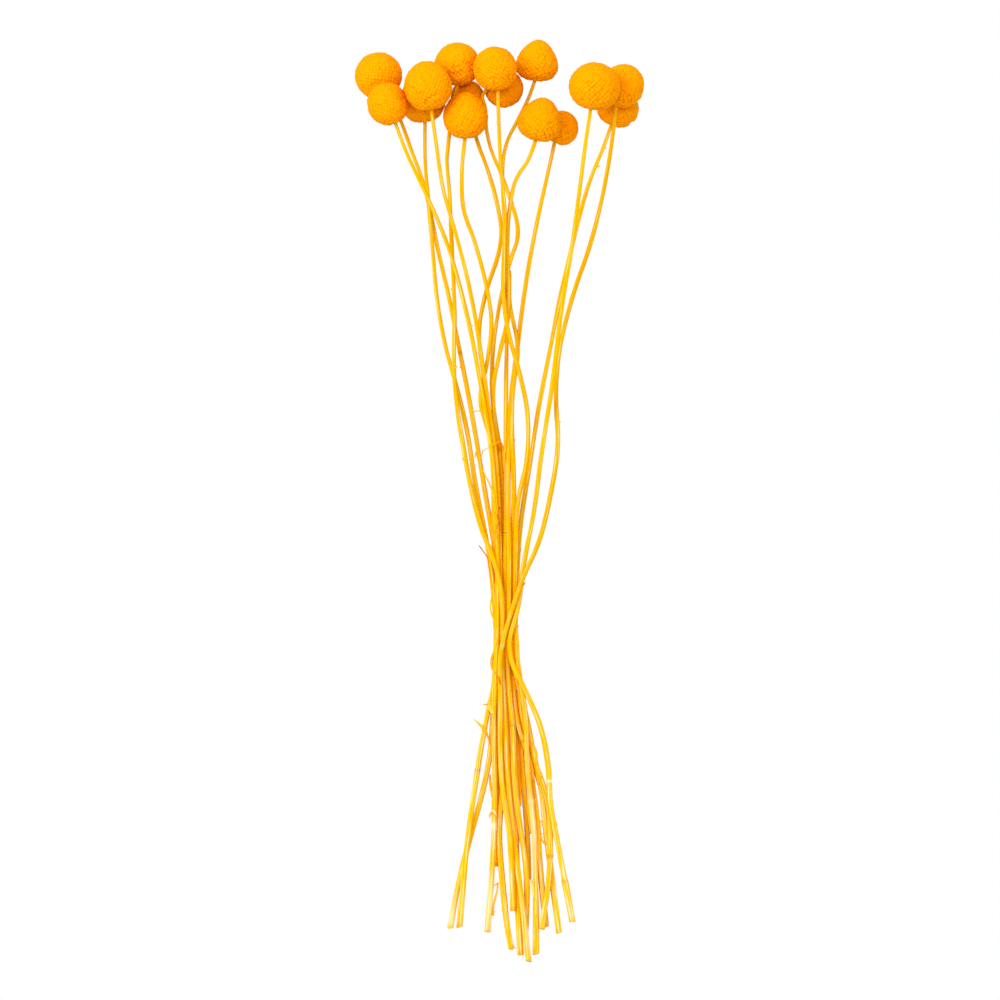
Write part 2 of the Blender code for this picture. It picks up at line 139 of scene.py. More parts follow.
def apply_modifier(thing, kind, **settings):
    """Add a modifier with its settings and apply it."""
    modifier = thing.modifiers.new(kind.lower(), kind)
    for name, value in settings.items():
        setattr(modifier, name, value)
    pick(thing)
    bpy.ops.object.modifier_apply(modifier=modifier.name)


def merge_points(thing):
    """Merge the points of an object that lie in one place."""
    pick(thing)
    bpy.ops.object.mode_set(mode="EDIT")
    bpy.ops.mesh.select_all(action="SELECT")
    bpy.ops.mesh.remove_doubles(threshold=WELD)
    bpy.ops.object.mode_set(mode="OBJECT")


def merged_copy(name):
    """A copy of a solid of the frame, with its loose triangles joined up."""
    copy = bpy.data.objects.new(name + "_copy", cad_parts[name].data.copy())
    bpy.context.scene.collection.objects.link(copy)
    merge_points(copy)
    return copy


def points_of(mesh):
    """A mesh's vertices as an array with a row for each."""
    points = np.empty(3 * len(mesh.vertices))
    mesh.vertices.foreach_get("co", points)
    return points.reshape(-1, 3)


def store(mesh, name, values):
    """Store a number on each point of a mesh."""
    mesh.attributes.new(name, "FLOAT", "POINT").data.foreach_set("value", values)


print(f"points nearer than {WELD / MM} mm are merged")

# %% [markdown]
# ## The camera
#
# The photograph shows the bunch square on, with hardly any perspective. A long lens far away
# gives that. The bunch lies down here, so the camera hangs above it and looks straight down. The
# lens is worked out from the width that the picture has to take in.

# %% Hang the camera above the bunch
PHOTO_SIDE = 1000
PIXEL = 0.55 * MM
ORIGIN_PIXEL = (499.15, 500.18)
CAMERA_HEIGHT = 12.0
SHARP_HEIGHT = 20 * MM


def photo_to_frame(across, down):
    """The place on the surface, in metres, of a point in the photograph."""
    return (across - ORIGIN_PIXEL[0]) * PIXEL, (ORIGIN_PIXEL[1] - down) * PIXEL


middle = photo_to_frame(0.5 * (PHOTO_SIDE - 1), 0.5 * (PHOTO_SIDE - 1))
bpy.ops.object.camera_add(location=(*middle, CAMERA_HEIGHT), rotation=(0.0, 0.0, 0.0))
camera = bpy.context.object
camera.data.lens = camera.data.sensor_width * (CAMERA_HEIGHT - SHARP_HEIGHT) / (PHOTO_SIDE * PIXEL)
camera.data.clip_end = 4 * CAMERA_HEIGHT
bpy.context.scene.camera = camera
print(f"lens {camera.data.lens:.0f} mm at {CAMERA_HEIGHT:.0f} m")

# %% [markdown]
# ## Floor and light
#
# A bright room: the sky and a pale floor light the bunch from all round, so the shadows are soft
# and the deep gaps between florets glow orange instead of going black. One large lamp on the upper
# left gives the stems their pale edge and the heads their roundness. A second one, above the bunch
# and beyond the heads, shines along the stems and so reaches down between them, which the sky
# hardly does, and it leaves the undersides of the heads darker. In a picture for a catalogue
# the ground is pure white with no shadow. So for the camera's rays this floor only glows, exactly
# white. Any brighter, and it would eat into the blurred edges of the stems and make them look
# thinner. For all other rays it is a pale grey card. The Standard view keeps the saturated yellow,
# where the default one would wash it out.

# %% Lay the floor and light it
FLOOR_SIZE = 12.0
SKY_LIGHT = 0.88
KEY_PLACE = (-1.1, 0.9, 1.7)
LAMP_SIZE = 0.8
KEY_POWER = 32.0
FILL_PLACE = (0.1, 0.7, 2.9)
FILL_POWER = 34.0


def make_floor():
    """A floor that is exactly white for the camera and pale grey for all other rays."""
    bpy.ops.mesh.primitive_plane_add(size=FLOOR_SIZE, location=(0.0, 0.0, 0.0))
    floor = bpy.context.object
    floor.name = "floor"
    material, tree, shader = new_material("white_matt_card")
    seen = add_node(tree, "ShaderNodeLightPath")
    card = add_node(tree, "ShaderNodeMix", {"data_type": "RGBA"}, {
        SHARE: seen.outputs["Is Camera Ray"],
        COLOUR_A: linear("#E4E4E4"), COLOUR_B: linear("#000000")})
    set_sockets(tree, shader, {
        "Base Color": card.outputs[MIXED], "Roughness": 0.9, "Specular IOR Level": 0.0,
        "Emission Color": linear("#FFFFFF"), "Emission Strength": seen.outputs["Is Camera Ray"]})
    floor.data.materials.append(material)


def light_the_room():
    """A bright sky and two large square lamps, turned towards the bunch."""
    world = bpy.data.worlds.new("bright_room")
    bpy.context.scene.world = world
    world.use_nodes = True
    sky = world.node_tree.nodes["Background"]
    sky.inputs["Color"].default_value = linear("#FFFFFF")
    sky.inputs["Strength"].default_value = SKY_LIGHT
    for place, power in ((KEY_PLACE, KEY_POWER), (FILL_PLACE, FILL_POWER)):
        bpy.ops.object.light_add(type="AREA", location=place)
        lamp = bpy.context.object
        lamp.data.size = LAMP_SIZE
        lamp.data.energy = power
        lamp.rotation_euler = Vector(place).to_track_quat("Z", "Y").to_euler()


make_floor()
light_the_room()
bpy.context.scene.view_settings.view_transform = "Standard"
print(f"key lamp {KEY_POWER:.0f} W, {Vector(KEY_PLACE).length:.1f} m away")

# %% [markdown]
# ## Floret material
#
# The florets are dry petal tissue, dyed through: matt, with no gloss to speak of. Light that falls
# into the gaps between them bounces from orange wall to orange wall and comes out deeper. The
# attribute `rise` says how far up a floret a point lies, and runs the colour from the brown-orange
# root to the golden tip; the darker root is partly the floret's own colour and partly painted
# shade in the gaps. The attribute `tone` makes some florets a little paler than their neighbours,
# and `nook` darkens those that are shut in by a stem or another head, as painted shade. A fine
# noise darkens and roughens the surface a little, for the crumbly petal tips.

# %% Make the floret material
FLORET_GRAIN = 0.5 * MM


def make_floret_material():
    material, tree, shader = new_material("dyed_dried_petal_tissue")
    rise, tone, nook = [add_node(tree, "ShaderNodeAttribute", {"attribute_name": name})
                        for name in ("rise", "tone", "nook")]
    place = add_node(tree, "ShaderNodeTexCoord")
    crumbs = add_node(tree, "ShaderNodeTexNoise", None, {
        "Vector": place.outputs["Object"], "Scale": 1 / FLORET_GRAIN, "Detail": 2.0})
    # The darker root colour is partly the florets' own and partly painted shade for the gaps between
    # them.
    ramp = add_node(tree, "ShaderNodeValToRGB", None, {"Fac": rise.outputs["Fac"]})
    set_stops(ramp, ((0.0, "#DC7000"), (0.4, "#E68200"), (0.8, "#EC8E00"), (1.0, "#EC9200")))
    pale_share = add_node(tree, "ShaderNodeMapRange", None, {
        "Value": tone.outputs["Fac"], "From Min": 0.4, "To Max": 0.5})
    paler = add_node(tree, "ShaderNodeMix", {"data_type": "RGBA"}, {
        SHARE: pale_share.outputs["Result"],
        COLOUR_A: ramp.outputs["Color"], COLOUR_B: linear("#F09C05")})
    dusk = add_node(tree, "ShaderNodeMapRange", None, {
        "Value": crumbs.outputs["Fac"], "From Min": 0.3, "From Max": 0.7,
        "To Min": 0.92, "To Max": 1.0})
    dusky = add_node(tree, "ShaderNodeMix", {"data_type": "RGBA", "blend_type": "MULTIPLY"}, {
        SHARE: 1.0, COLOUR_A: paler.outputs[MIXED], COLOUR_B: dusk.outputs["Result"]})
    # Painted shade: florets shut in by a stem or another head are darkened by their nook share.
    painted_shade = add_node(tree, "ShaderNodeMix", {"data_type": "RGBA", "blend_type": "MULTIPLY"}, {
        SHARE: nook.outputs["Fac"],
        COLOUR_A: dusky.outputs[MIXED], COLOUR_B: linear("#FFE000")})
    bump = add_node(tree, "ShaderNodeBump", None, {
        "Height": crumbs.outputs["Fac"], "Strength": 0.5, "Distance": 0.1 * MM})
    set_sockets(tree, shader, {
        "Base Color": painted_shade.outputs[MIXED], "Normal": bump.outputs["Normal"],
        "Roughness": 0.85, "IOR": 1.4, "Specular IOR Level": 0.02})
    return material


floret_material = make_floret_material()
print("material", floret_material.name)

# %% [markdown]
# ## Stem material
#
# A dried stem is straw: hollow, ribbed along its length, matt, and thin enough to let a little
# light through. The dye takes unevenly, in streaks a few millimetres to a few centimetres long,
# and it hardly reaches the last stretch above the cut, which stays cream. The attribute `grain`
# holds each point's place on the stem as if the stem were straight: two numbers round it and one
# along it. A noise stretched along the third number makes streaks that follow every bend. The
# palest of them are partly uneven dye and partly painted sheen, for the shader itself has no
# gloss. The attribute `tone` makes one stem a little darker than the next, and `mark` burns or
# bleaches the rings of the nodes. Light that reaches a shut-in place has passed through dyed straw
# and is red by then, so the attribute `nook` turns the colour there towards orange: painted shade
# and bounce light.

# %% Make the stem material
STREAK_WIDTH = 0.5 * MM
STREAK_LENGTH = 22 * MM
FADE_START = -60 * MM
FADE_END = -205 * MM
STRAW_GLOW = 0.15
STRAW_GLOW_COLOUR = (1.0, 0.5, 0.1)
STRAW_GLOW_DEPTH = 0.6 * MM


def make_stem_material():
    material, tree, shader = new_material("dyed_straw_stem")
    grain, tone, mark, nook = [add_node(tree, "ShaderNodeAttribute", {"attribute_name": name})
                               for name in ("grain", "tone", "mark", "nook")]
    place = add_node(tree, "ShaderNodeTexCoord")
    stretch = add_node(tree, "ShaderNodeMapping", None, {
        "Vector": grain.outputs["Vector"],
        "Scale": (1 / STREAK_WIDTH, 1 / STREAK_WIDTH, 1 / STREAK_LENGTH)})
    streaks = add_node(tree, "ShaderNodeTexNoise", None, {
        "Vector": stretch.outputs["Vector"], "Scale": 1.0, "Detail": 3.0, "Roughness": 0.6})
    apart = add_node(tree, "ShaderNodeSeparateXYZ", None, {"Vector": place.outputs["Object"]})
    fade = add_node(tree, "ShaderNodeMapRange", {"interpolation_type": "SMOOTHSTEP"}, {
        "Value": apart.outputs["Y"], "From Min": FADE_START, "From Max": FADE_END})
    dyed = add_node(tree, "ShaderNodeValToRGB", None, {"Fac": streaks.outputs["Fac"]})
    faded = add_node(tree, "ShaderNodeValToRGB", None, {"Fac": streaks.outputs["Fac"]})
    # The palest stop of each ramp is partly uneven dye and partly painted sheen, as the shader has no
    # gloss.
    set_stops(dyed, ((0.38, "#E29800"), (0.46, "#E2A600"), (0.58, "#E2AD00"), (0.68, "#EAC87C")))
    set_stops(faded, ((0.38, "#F0A400"), (0.45, "#F0B400"), (0.55, "#F0BA28"), (0.65, "#F4D4AC")))
    mixed = add_node(tree, "ShaderNodeMix", {"data_type": "RGBA"}, {
        SHARE: fade.outputs["Result"],
        COLOUR_A: dyed.outputs["Color"], COLOUR_B: faded.outputs["Color"]})
    shade = add_node(tree, "ShaderNodeMapRange", None, {
        "Value": tone.outputs["Fac"], "To Min": 0.92, "To Max": 1.0})
    toned = add_node(tree, "ShaderNodeMix", {"data_type": "RGBA", "blend_type": "MULTIPLY"}, {
        SHARE: 1.0, COLOUR_A: mixed.outputs[MIXED], COLOUR_B: shade.outputs["Result"]})
    # Painted shade and bounce light: shut-in points are mixed towards orange by their nook share.
    shut_in = add_node(tree, "ShaderNodeMapRange", {"interpolation_type": "SMOOTHSTEP"}, {
        "Value": nook.outputs["Fac"], "From Min": 0.35, "From Max": 1.0, "To Max": 0.85})
    painted_shade = add_node(tree, "ShaderNodeMix", {"data_type": "RGBA"}, {
        SHARE: shut_in.outputs["Result"],
        COLOUR_A: toned.outputs[MIXED], COLOUR_B: linear("#FFA400")})
    burnt = add_node(tree, "ShaderNodeMapRange", None, {
        "Value": mark.outputs["Fac"], "From Min": 0.0, "From Max": -1.0})
    darkened = add_node(tree, "ShaderNodeMix", {"data_type": "RGBA"}, {
        SHARE: burnt.outputs["Result"],
        COLOUR_A: painted_shade.outputs[MIXED], COLOUR_B: linear("#B45A00")})
    bleached = add_node(tree, "ShaderNodeMapRange", None, {"Value": mark.outputs["Fac"]})
    marked = add_node(tree, "ShaderNodeMix", {"data_type": "RGBA"}, {
        SHARE: bleached.outputs["Result"],
        COLOUR_A: darkened.outputs[MIXED], COLOUR_B: linear("#FDDABC")})
    bump = add_node(tree, "ShaderNodeBump", None, {
        "Height": streaks.outputs["Fac"], "Strength": 0.6, "Distance": 0.15 * MM})
    set_sockets(tree, shader, {
        "Base Color": marked.outputs[MIXED], "Normal": bump.outputs["Normal"],
        "Roughness": 0.4, "IOR": 1.4, "Specular IOR Level": 0.0,
        "Subsurface Weight": STRAW_GLOW, "Subsurface Radius": STRAW_GLOW_COLOUR,
        "Subsurface Scale": STRAW_GLOW_DEPTH})
    return material


stem_material = make_stem_material()
print("material", stem_material.name)

# %% [markdown]
# ## Pith material
#
# The knife opens the stem's white pith, a foam of dead cells. It is dull, porous and takes no dye.

# %% Make the pith material
PORE = 0.35 * MM


def make_pith_material():
    material, tree, shader = new_material("dry_pith")
    place = add_node(tree, "ShaderNodeTexCoord")
    pores = add_node(tree, "ShaderNodeTexVoronoi", None, {
        "Vector": place.outputs["Object"], "Scale": 1 / PORE})
    colour = add_node(tree, "ShaderNodeMix", {"data_type": "RGBA"}, {
        SHARE: pores.outputs["Distance"],
        COLOUR_A: linear("#D2A853"), COLOUR_B: linear("#E7D5AD")})
    set_sockets(tree, shader, {"Base Color": colour.outputs[MIXED], "Roughness": 0.9})
    return material


pith_material = make_pith_material()
print("material", pith_material.name)

# %% [markdown]
# ## Reading the stems from the frame
#
# Each stem of the frame is a plain six-sided rod: a row of rings, six points to a ring, from the
# head down to the cut end. Sorted along the bunch and taken six at a time, the points give back
# the middle and the radius of every ring. That is all a new stem needs to lie where the old one
# does.

# %% Read each stem's middle line
ROD_SIDES = 6


def rings_of(name):
    """The middles and radii of a stem's rings, from the head to the cut end, in metres."""
    rod = merged_copy(name)
    points = points_of(rod.data)
    bpy.data.objects.remove(rod)
    rings = points[np.argsort(-points[:, 1], kind="stable")].reshape(-1, ROD_SIDES, 3)
    middles = rings.mean(axis=1)
    radii = np.linalg.norm(rings - middles[:, None], axis=2).mean(axis=1)
    return middles, radii


rings = {name: rings_of(name) for name in STEMS}
thin = min(radii.min() for _, radii in rings.values()) / MM
thick = max(radii.max() for _, radii in rings.values()) / MM
print(f"{len(rings[STEMS[0]][0])} rings a stem, radius {thin:.2f} to {thick:.2f} mm")

# %% [markdown]
# ## Nodes
#
# Where a leaf once grew, a stem keeps a node: a short swelling with a ring round it that dries
# dark or pale. Each has an entry in a table, with its stem, its row in the photograph, how much it
# swells, its mark, from -1 for burnt orange to 1 for cream, and how many millimetres the mark
# reaches. Three new rings in the stem's middle line make the swelling. A few stretches with no
# swelling, which the dye has missed, stand in the same table.

# %% Put the nodes into the middle lines
Node = namedtuple("Node", "stem down swell mark reach", defaults=(1.1,))
NODES = (
    Node("stem_01", 352, 1.07, -0.4),
    Node("stem_02", 826, 1.1, 0.6, 2.5), Node("stem_02", 838, 1.0, 0.25, 6.0),
    Node("stem_02", 905, 1.0, 0.4, 14.0),
    Node("stem_04", 770, 1.06, -0.3), Node("stem_05", 633, 1.05, 0.1),
    Node("stem_07", 452, 1.08, -0.4), Node("stem_07", 922, 1.0, 0.45, 12.0),
    Node("stem_08", 801, 1.14, 0.2), Node("stem_08", 826, 1.0, 0.45, 18.0),
    Node("stem_10", 725, 1.08, -0.4),
    Node("stem_12", 345, 1.06, 0.3), Node("stem_12", 856, 1.14, -0.5),
    Node("stem_13", 781, 1.04, 0.8, 0.7), Node("stem_13", 824, 1.12, -0.2),
    Node("stem_13", 881, 1.1, -0.3), Node("stem_13", 913, 1.0, 0.3, 6.0),
    Node("stem_14", 645, 1.06, 0.15), Node("stem_15", 755, 1.12, -0.5),
    Node("stem_16", 741, 1.08, -0.4),
)
NODE_HALF = 1.8 * MM
NODE_SHOULDER = 1.01


def with_nodes(name, middles, radii):
    """The stem's rings with three more at each of its nodes."""
    for node in NODES:
        if node.stem != name or node.swell == 1.0:
            continue
        centre = photo_to_frame(0.0, node.down)[1]
        for step, swell in (
                (NODE_HALF, NODE_SHOULDER), (0.0, node.swell), (-NODE_HALF, NODE_SHOULDER)):
            row = np.searchsorted(-middles[:, 1], -(centre + step))
            share = (middles[row - 1, 1] - centre - step) / (middles[row - 1, 1] - middles[row, 1])
            middle = middles[row - 1] + share * (middles[row] - middles[row - 1])
            radius = radii[row - 1] + share * (radii[row] - radii[row - 1])
            middles = np.insert(middles, row, middle, axis=0)
            radii = np.insert(radii, row, radius * swell)
    return middles, radii


noded = {name: with_nodes(name, *rings[name]) for name in STEMS}
print(f"{len(NODES)} nodes")

# %% [markdown]
# ## The stems
#
# A billy button stem is a slender straw with eight or so low ribs, which dry out uneven and twist
# a little on their way. It could be a long cylinder bent by hand. A curve is better: it runs
# through the middles of the rings, carries a ribbed outline along, and takes a thickness and a
# twist at each point. Turned into a mesh, it is cut across at a slant, as a knife does it, and the
# cut is inset and sunk to show the pith inside its rind. The leaf shreds further down are swept
# along a curve in the same way.

# %% Draw the ribbed outline
RIBS = 8
RIB_HEIGHT = 1.06
GROOVE_HEIGHT = 0.93
OUTLINE_POINTS = 2 * RIBS
UNEVENNESS = 0.035
chance = np.random.default_rng(11)


def make_rib_outline():
    """A closed curve with low uneven ribs, about one unit in radius."""
    bpy.ops.mesh.primitive_circle_add(vertices=OUTLINE_POINTS, radius=1.0)
    outline = bpy.context.object
    outline.name = "rib_outline"
    for number, vert in enumerate(outline.data.vertices):
        level = GROOVE_HEIGHT if number % 2 else RIB_HEIGHT
        vert.co *= level * (1.0 + chance.uniform(-1, 1) * UNEVENNESS)
    bpy.ops.object.convert(target="CURVE")
    return bpy.context.object


rib_outline = make_rib_outline()
print(f"outline of {len(rib_outline.data.splines[0].points)} points")

# %% Sweep an outline along a line
CAP_RINGS = 2


def sweep(name, outline, places, radii, twists, steps, twist_mode="MINIMUM"):
    """A mesh that carries an outline through some places, with a radius and a twist at each."""
    bpy.ops.curve.primitive_bezier_curve_add(location=(0.0, 0.0, 0.0))
    swept = bpy.context.object
    swept.name = name
    line = swept.data
    line.splines.clear()
    spline = line.splines.new("BEZIER")
    spline.bezier_points.add(len(places) - 1)
    for knot, place, radius, twist in zip(spline.bezier_points, places, radii, twists):
        knot.co = place
        knot.handle_left_type = knot.handle_right_type = "AUTO"
        knot.radius = radius
        knot.tilt = twist
    line.resolution_u = steps
    line.twist_mode = twist_mode
    line.bevel_mode = "OBJECT"
    line.bevel_object = outline
    line.use_fill_caps = True
    pick(swept)
    bpy.ops.object.convert(target="MESH")
    swept.data.materials.clear()
    return swept


def with_caps(values):
    """Values for the rings of a swept mesh, after those for its end cap and its start cap."""
    return np.concatenate((values[-1:], values[:1], values))


print(f"a swept mesh starts with {CAP_RINGS} rings, for its caps")

# %% Store where the points of a stem lie, and how dark they are
CUT_BROWNING = 0.45
CUT_BROWN_REACH = 0.9 * MM


def store_grain(mesh, radius):
    """Store each point's place on the stem as if the stem were straight."""
    middles = points_of(mesh).reshape(-1, OUTLINE_POINTS, 3)[CAP_RINGS:].mean(axis=1)
    steps = np.linalg.norm(np.diff(middles, axis=0), axis=1)
    along = with_caps(np.concatenate(([0.0], np.cumsum(steps))))
    turn = np.arange(OUTLINE_POINTS) * math.tau / OUTLINE_POINTS
    grain = np.empty((len(along), OUTLINE_POINTS, 3))
    grain[..., 0] = radius * np.cos(turn)
    grain[..., 1] = radius * np.sin(turn)
    grain[..., 2] = along[:, None]
    mesh.attributes.new("grain", "FLOAT_VECTOR", "POINT").data.foreach_set("vector", grain.ravel())


def store_marks(name, mesh):
    """Store how dark or pale each point is, from the nodes of its stem and from its cut."""
    down = points_of(mesh)[:, 1]
    marks = np.zeros(len(down))
    for node in NODES:
        if node.stem == name:
            away = (down - photo_to_frame(0.0, node.down)[1]) / (node.reach * MM)
            marks += node.mark * np.exp(-away ** 2)
    marks -= CUT_BROWNING * np.exp(-((down - down.min()) / CUT_BROWN_REACH) ** 2)
    store(mesh, "mark", marks)


print(f"marks from {min(node.mark for node in NODES)} to {max(node.mark for node in NODES)}")

# %% Cut the foot of a stem, and splinter a snapped top
CUT_SLANT = 0.3
CUT_SPARE = 1.5 * MM
CUT_INSET = 0.35 * MM
CUT_DEPTH = 0.3 * MM
SPLINTER_REACH = 2.5 * MM
SPLINTER_LENGTHS = (-0.6, 1.6)
SPLINTER_PINCH = 0.35


def cut_foot(stem, foot, heading):
    """Cut a stem across at its foot, and sink the pith inside the rind."""
    slant = Vector(chance.normal(0.0, CUT_SLANT, 3)).cross(heading)
    normal = (heading + slant).normalized()
    merge_points(stem)
    bpy.ops.object.mode_set(mode="EDIT")
    bpy.ops.mesh.select_all(action="SELECT")
    bpy.ops.mesh.bisect(plane_co=foot, plane_no=normal, use_fill=True, clear_outer=True)
    bpy.ops.mesh.inset(thickness=CUT_INSET, depth=-CUT_DEPTH)
    stem.active_material_index = 1
    bpy.ops.object.material_slot_assign()
    bpy.ops.object.mode_set(mode="OBJECT")


def splinter_top(stem, top):
    """Pull the snapped end of a headless stem out into splinters."""
    for vert in stem.data.vertices:
        if (vert.co - top).length < SPLINTER_REACH:
            vert.co.y += chance.uniform(*SPLINTER_LENGTHS) * MM
            vert.co += (top - vert.co) * chance.uniform(0.0, SPLINTER_PINCH)


print(f"a stem is swept {CUT_SPARE / MM} mm too long before it is cut")

# %% Grow the stems
STEM_STEPS = 5
WOBBLE = 0.035
TWIST = 0.12
CREASE_ANGLE = math.radians(50)


def sweep_stem(name, middles, radii):
    """A ribbed straw through a stem's middles and a little past its foot."""
    heading = middles[-1] - middles[-2]
    places = [*middles[:-1], middles[-1] + heading / np.linalg.norm(heading) * CUT_SPARE]
    twists = np.cumsum(chance.normal(0.0, TWIST, len(middles))) + chance.uniform(0.0, math.tau)
    wobbly_radii = radii * (1.0 + chance.normal(0.0, WOBBLE, len(radii)))
    return sweep(name + "_straw", rib_outline, places, wobbly_radii, twists, STEM_STEPS)


def make_stem(name):
    """A straw that stands for a stem of the frame, with its attributes and its cut foot."""
    middles, radii = noded[name]
    stem = sweep_stem(name, middles, radii)
    mesh = stem.data
    mesh.materials.append(stem_material)
    mesh.materials.append(pith_material)
    store_grain(mesh, radii.mean())
    foot = Vector(middles[-1])
    cut_foot(stem, foot, (foot - Vector(middles[-2])).normalized())
    if name.replace("stem", "head") not in HEADS:
        splinter_top(stem, Vector(middles[0]))
    store_marks(name, mesh)
    for vert in mesh.vertices:
        vert.co.z = max(vert.co.z, 0.0)
    bpy.ops.object.shade_smooth_by_angle(angle=CREASE_ANGLE)
    store(mesh, "tone", np.full(len(mesh.vertices), chance.uniform(0.0, 1.0)))
    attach(stem, "root")
    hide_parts(name)
    return stem


stems = {name: make_stem(name) for name in STEMS}
print("stems:", sum(len(stem.data.polygons) for stem in stems.values()), "faces")

# %% [markdown]
# ## Dry leaf material
#
# What is left of the leaves is paper thin and took the dye like the stems. Its tips dried brown
# and its sheaths stayed pale. The attribute `age` runs from cream at 0 through gold to brown at 1,
# and a noise blotches it.

# %% Make the dry leaf material
LEAF_BLOTCH = 0.9 * MM


def make_leaf_material():
    material, tree, shader = new_material("papery_dried_leaf")
    age = add_node(tree, "ShaderNodeAttribute", {"attribute_name": "age"})
    place = add_node(tree, "ShaderNodeTexCoord")
    blotches = add_node(tree, "ShaderNodeTexNoise", None, {
        "Vector": place.outputs["Object"], "Scale": 1 / LEAF_BLOTCH, "Detail": 2.0})
    shift = add_node(tree, "ShaderNodeMapRange", None, {
        "Value": blotches.outputs["Fac"], "To Min": -0.25, "To Max": 0.25})
    total = add_node(tree, "ShaderNodeMath", {"operation": "ADD"}, {
        0: age.outputs["Fac"], 1: shift.outputs["Result"]})
    ramp = add_node(tree, "ShaderNodeValToRGB", None, {"Fac": total.outputs["Value"]})
    set_stops(ramp, ((0.0, "#FDD8A8"), (0.3, "#FCB20A"), (0.65, "#F69600"), (1.0, "#A65A0D")))
    bump = add_node(tree, "ShaderNodeBump", None, {
        "Height": blotches.outputs["Fac"], "Strength": 0.5, "Distance": 0.1 * MM})
    set_sockets(tree, shader, {
        "Base Color": ramp.outputs["Color"], "Normal": bump.outputs["Normal"],
        "Roughness": 0.75, "IOR": 1.4, "Specular IOR Level": 0.1})
    return material


leaf_material = make_leaf_material()
print("material", leaf_material.name)

# %% [markdown]
# ## Finding the stems under a place
#
# Small things on the stems are placed by their pixel in the photograph, and that gives no height.
# A ray shot down at the place finds the uppermost stem under it. Where it meets none, others are
# shot down in wider and wider rings round the place until one does, and that stem lends its height.
# So what spans a gap starts and ends on the stems beside it.

# %% Measure the height of the pile
PILE_TOP = 60 * MM
RING_STEP = 0.4 * MM
RING_COUNT = 25
RING_RAYS = 8
PILE_GAP = 0.15


def surface_of(things):
    """The faces of some objects as one tree to shoot rays at."""
    corners, faces = [], []
    for thing in things:
        start = len(corners)
        corners += [vert.co.copy() for vert in thing.data.vertices]
        faces += [[start + corner for corner in face.vertices] for face in thing.data.polygons]
    return BVHTree.FromPolygons(corners, faces)


def on_pile(across, down, lift=0.0):
    """The point on the pile of stems at a pixel, lifted by some millimetres."""
    place = Vector((*photo_to_frame(across, down), PILE_TOP))
    for ring in range(RING_COUNT):
        aside = Vector((ring * RING_STEP, 0, 0))
        turns = [Matrix.Rotation(ray * math.tau / RING_RAYS, 3, "Z") for ray in range(RING_RAYS)]
        spots = [pile.ray_cast(place + turn @ aside, Vector((0, 0, -1)))[0] for turn in turns]
        heights = [spot.z for spot in spots if spot is not None]
        if heights:
            return Vector((place.x, place.y, max(heights) + (lift + PILE_GAP) * MM))
    raise ValueError(f"no stem near {across}, {down}")


pile = surface_of(stems.values())
print(f"pile {on_pile(505, 640).z / MM:.1f} mm high at the waist")

# %% [markdown]
# ## Nooks
#
# In the crossings and under the heads little light gets in. How shut in a point is can be counted:
# a fan of short rays leaves it all round its normal, and the share of them that soon meet a stem or
# a head is the answer. It goes into the attribute `nook`, from 0 in the open to 1 in a crack, and
# the materials paint shade into their colours from it. The rays are spread evenly by a golden
# spiral: each is a golden angle further round than the last.

# %% Count how shut in the stems are
NOOK_REACH = 9 * MM
NOOK_RAYS = 14
RAY_START = 0.15 * MM
FAN_SPREAD = 0.96
GOLDEN_ANGLE = math.pi * (3.0 - math.sqrt(5.0))


def golden_spiral(heights):
    """Directions at the given heights on a unit ball, each a golden angle further round."""
    turns = np.arange(len(heights)) * GOLDEN_ANGLE
    out = np.sqrt(1.0 - heights ** 2)
    return np.column_stack((out * np.cos(turns), out * np.sin(turns), heights))


def nook(spot, normal):
    """The share of rays from a spot that soon meet something."""
    met = [crowd.ray_cast(spot, normal + way, NOOK_REACH)[0] is not None for way in fan]
    return sum(met) / NOOK_RAYS


fan_heights = 1.0 - (2.0 * np.arange(NOOK_RAYS) + 1.0) / NOOK_RAYS
fan = [Vector(way) * FAN_SPREAD for way in golden_spiral(fan_heights)]
crowd = surface_of([*stems.values(), *[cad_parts[name] for name in HEADS]])
for stem in stems.values():
    nooks = [nook(vert.co + RAY_START * vert.normal, vert.normal) for vert in stem.data.vertices]
    store(stem.data, "nook", nooks)
print(f"last stem: mean nook {sum(nooks) / len(nooks):.2f}")
